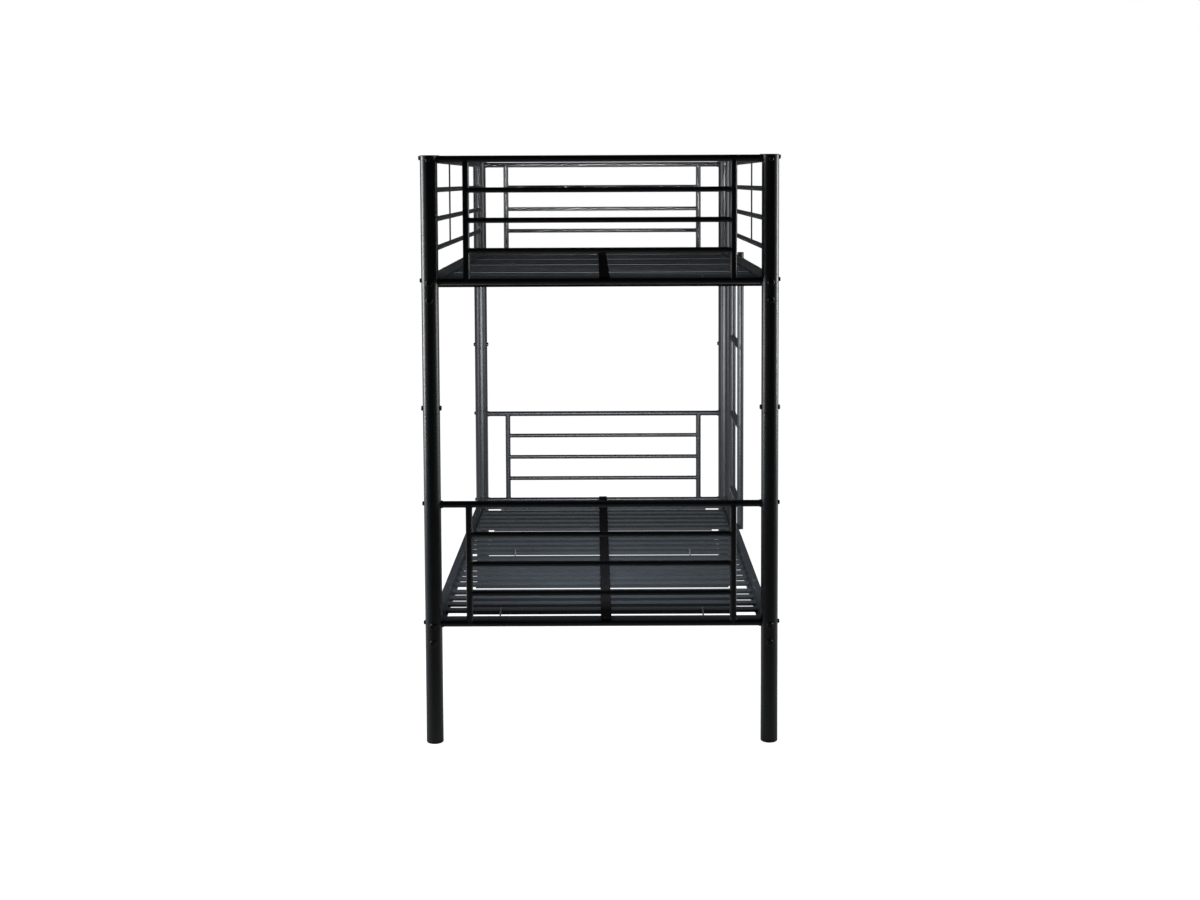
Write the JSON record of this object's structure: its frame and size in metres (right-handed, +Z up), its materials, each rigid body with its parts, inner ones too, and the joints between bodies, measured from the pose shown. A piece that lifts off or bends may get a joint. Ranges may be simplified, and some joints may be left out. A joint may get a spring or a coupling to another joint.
{
  "type": "bunk bed",
  "caption": "Metal tube bunk bed with slatted decks, guard rails on the upper bed and a straight ladder bolted to one side, for two people to sleep one above the other.",
  "frame": {"origin": "centre of the bed's box in plan, on the floor plane under the four feet", "axes": "+Z up, Y along the bed's length with the foot end at -Y, X across the bed with the ladder on the +X side"},
  "size_m": [1.066, 1.9908, 1.7572],
  "materials": {
    "black_powder_coat": "semi-gloss black powder coat with a very fine texture",
    "slat_coat": "satin black coat on roll-formed sheet steel",
    "black_plastic": "matt black moulded plastic",
    "black_bolts": "black-coated steel, slightly glossy, with hex sockets",
    "plain_steel": "zinc-plated steel inside the tubes",
    "black_webbing": "woven black polypropylene webbing"
  },
  "bodies": {
    "root": {"deck_end_angles": "black_powder_coat", "foot_lower_bars": "black_powder_coat", "foot_lower_deck_rail": "black_powder_coat", "foot_lower_top_rail": "black_powder_coat", "foot_lower_uprights": "black_powder_coat", "foot_upper_bars": "black_powder_coat", "foot_upper_deck_rail": "black_powder_coat", "foot_upper_top_rail": "black_powder_coat", "foot_upper_uprights": "black_powder_coat", "guard_left_bars": "black_powder_coat", "guard_left_rail": "black_powder_coat", "guard_left_uprights": "black_powder_coat", "guard_right_bars": "black_powder_coat", "guard_right_rail": "black_powder_coat", "guard_right_uprights": "black_powder_coat", "guard_strips": "black_powder_coat", "head_lower_bars": "black_powder_coat", "head_lower_deck_rail": "black_powder_coat", "head_lower_top_rail": "black_powder_coat", "head_lower_uprights": "black_powder_coat", "head_upper_bars": "black_powder_coat", "head_upper_deck_rail": "black_powder_coat", "head_upper_top_rail": "black_powder_coat", "head_upper_uprights": "black_powder_coat", "hole_plugs": "black_plastic", "joint_bolts": "black_bolts", "joint_sleeve_nuts": "black_bolts", "ladder_bolts": "black_bolts", "ladder_rungs": "black_powder_coat", "ladder_stile_foot_side": "black_powder_coat", "ladder_stile_head_side": "black_powder_coat", "post_caps": "black_plastic", "post_feet": "black_plastic", "post_joiners": "plain_steel", "post_lower_foot_left": "black_powder_coat", "post_lower_foot_right": "black_powder_coat", "post_lower_head_left": "black_powder_coat", "post_lower_head_right": "black_powder_coat", "post_middles": "black_powder_coat", "post_upper_foot_left": "black_powder_coat", "post_upper_foot_right": "black_powder_coat", "post_upper_head_left": "black_powder_coat", "post_upper_head_right": "black_powder_coat", "rail_bolts": "black_bolts", "rail_brackets": "black_powder_coat", "rail_saddles": "black_plastic", "side_rail_bolts": "black_bolts", "side_rail_lower_left": "black_powder_coat", "side_rail_lower_right": "black_powder_coat", "side_rail_nuts": "plain_steel", "side_rail_upper_left": "black_powder_coat", "side_rail_upper_right": "black_powder_coat", "slat_hooks": "black_powder_coat", "slat_ledges": "black_powder_coat", "slats_lower": "slat_coat", "slats_upper": "slat_coat", "strap_lower": "black_webbing", "strap_upper": "black_webbing", "threaded_inserts": "plain_steel", "tube_end_caps": "black_plastic"}
  },
  "joints": []
}
